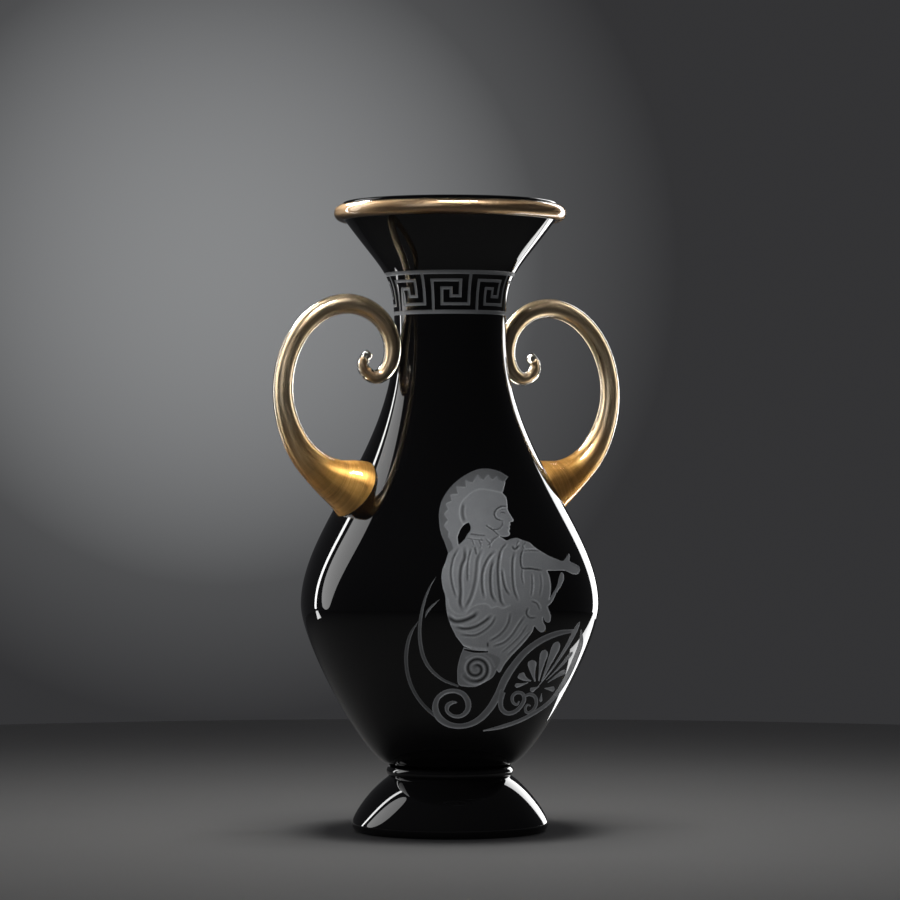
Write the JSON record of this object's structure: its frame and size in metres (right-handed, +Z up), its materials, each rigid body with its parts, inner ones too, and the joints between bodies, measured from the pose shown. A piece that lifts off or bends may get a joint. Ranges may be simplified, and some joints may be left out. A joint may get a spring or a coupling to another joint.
{
  "type": "two-handled vase",
  "caption": "Black glass amphora with a flared neck and foot, an open mouth and gold-cored clear scroll handles.",
  "frame": {"origin": "centre of the foot, on the surface it stands on", "axes": "+Z up the vase; the two handles lie along X; the engraved front faces -Y"},
  "size_m": [0.2154, 0.1664, 0.35],
  "materials": {
    "black_glass": "fire-polished black glass, with frosted grey engraving on neck and front",
    "clear_glass": "clear, faintly amber, fire-polished",
    "gold_core": "satin gold leaf on glass"
  },
  "bodies": {
    "root": {"vessel_body": "black_glass", "joint_bead": "black_glass", "foot": "black_glass", "lip_core": "gold_core", "lip_casing": "clear_glass", "handle_left_core": "gold_core", "handle_left_casing": "clear_glass", "handle_right_core": "gold_core", "handle_right_casing": "clear_glass"}
  },
  "joints": []
}
